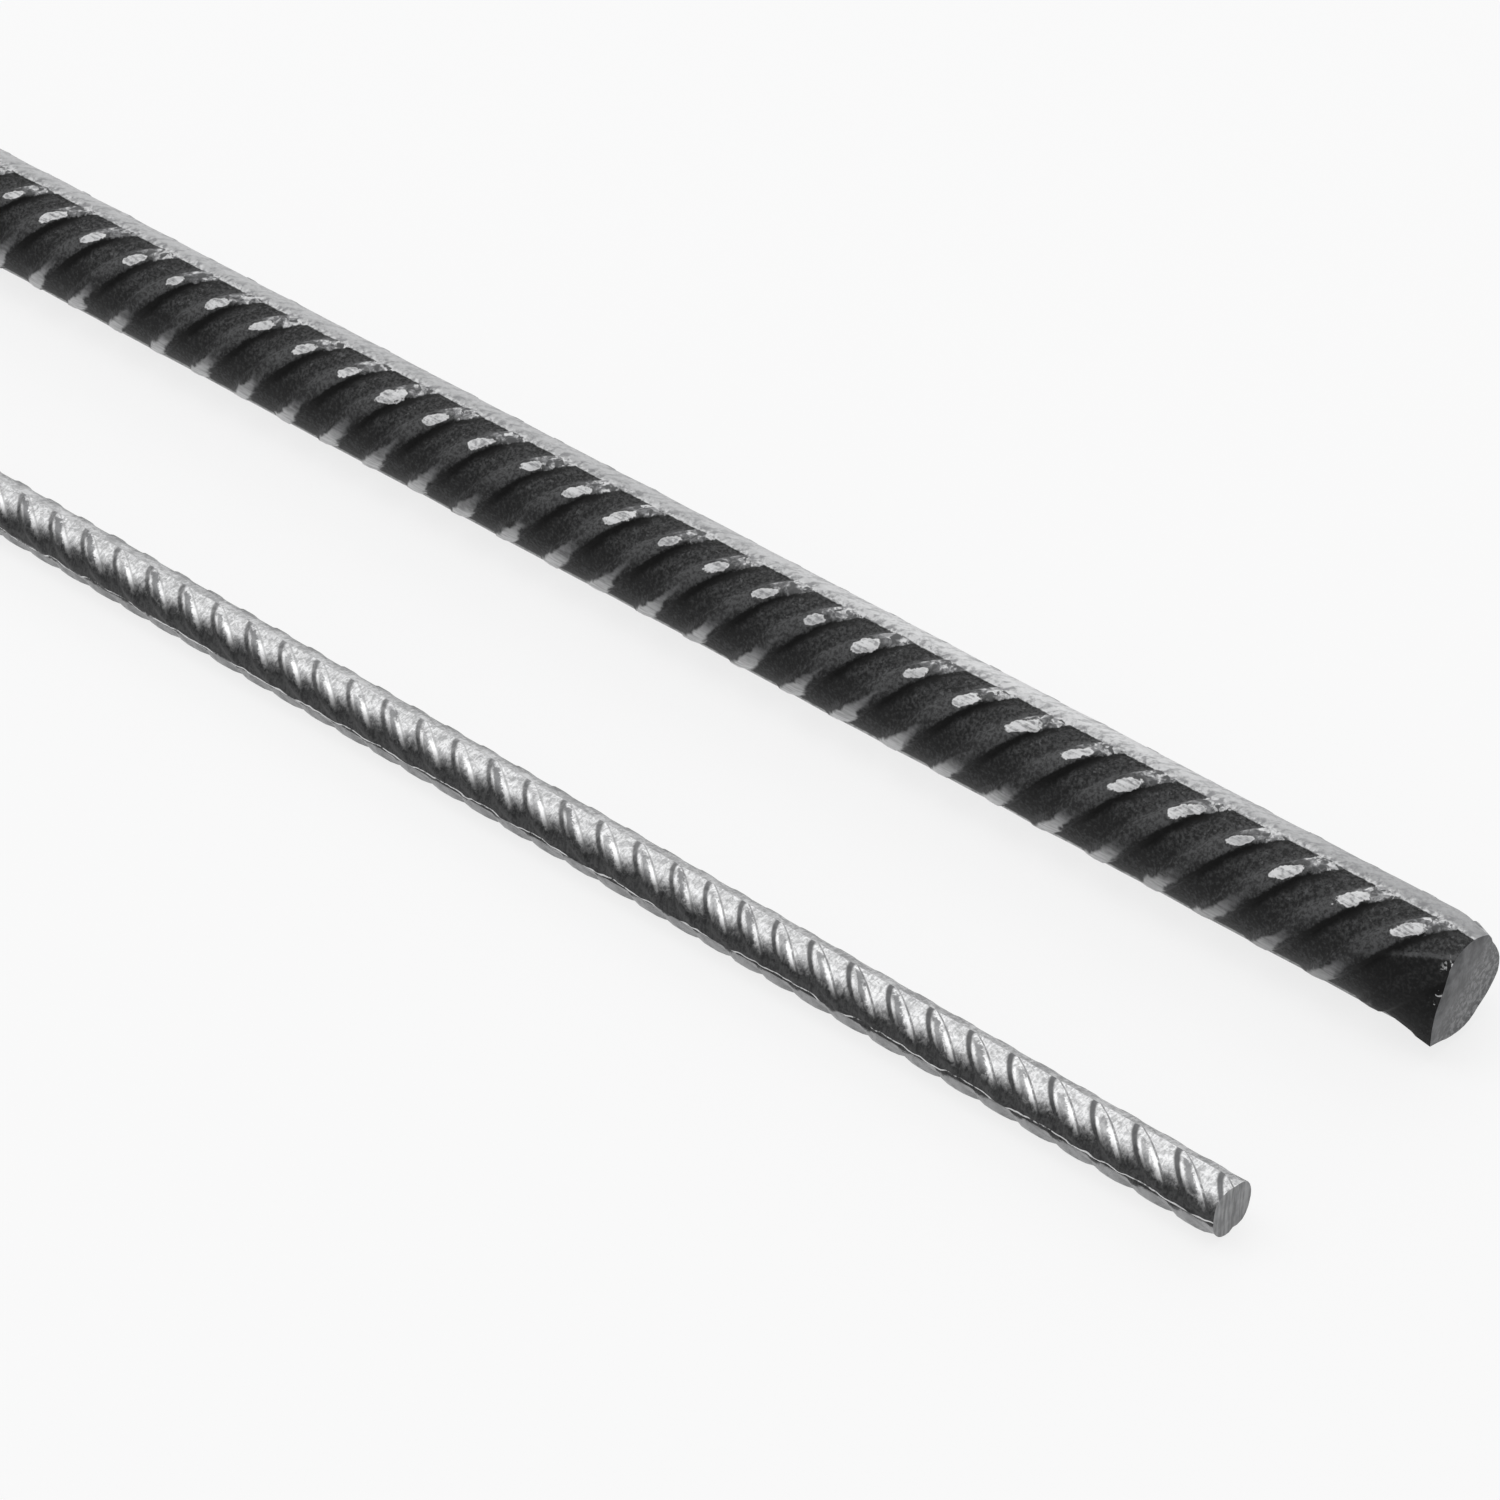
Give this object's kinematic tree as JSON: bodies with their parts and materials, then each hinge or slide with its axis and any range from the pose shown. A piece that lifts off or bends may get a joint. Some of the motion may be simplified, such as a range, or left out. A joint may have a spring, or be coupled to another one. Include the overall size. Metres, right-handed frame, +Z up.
{
  "type": "pair of reinforcing bars",
  "caption": "Ribbed steel reinforcing bars, a thick dark hot-rolled one and a thin bright cold-rolled one, lying loose side by side with flush sheared ends.",
  "frame": {"origin": "on the floor, in the middle of the rectangle that the two bars cover", "axes": "+X along the bars towards the ends in view, +Y to the back, on the thick bar's side, +Z up"},
  "size_m": [1, 0.0452, 0.0123],
  "materials": {
    "mill_scale_steel": "dark hot-rolled mill scale, worn bright on the rib crests",
    "bright_steel": "bright cold-rolled, satin"
  },
  "bodies": {
    "root": {"thick_bar": "mill_scale_steel", "thin_bar": "bright_steel"}
  },
  "joints": []
}
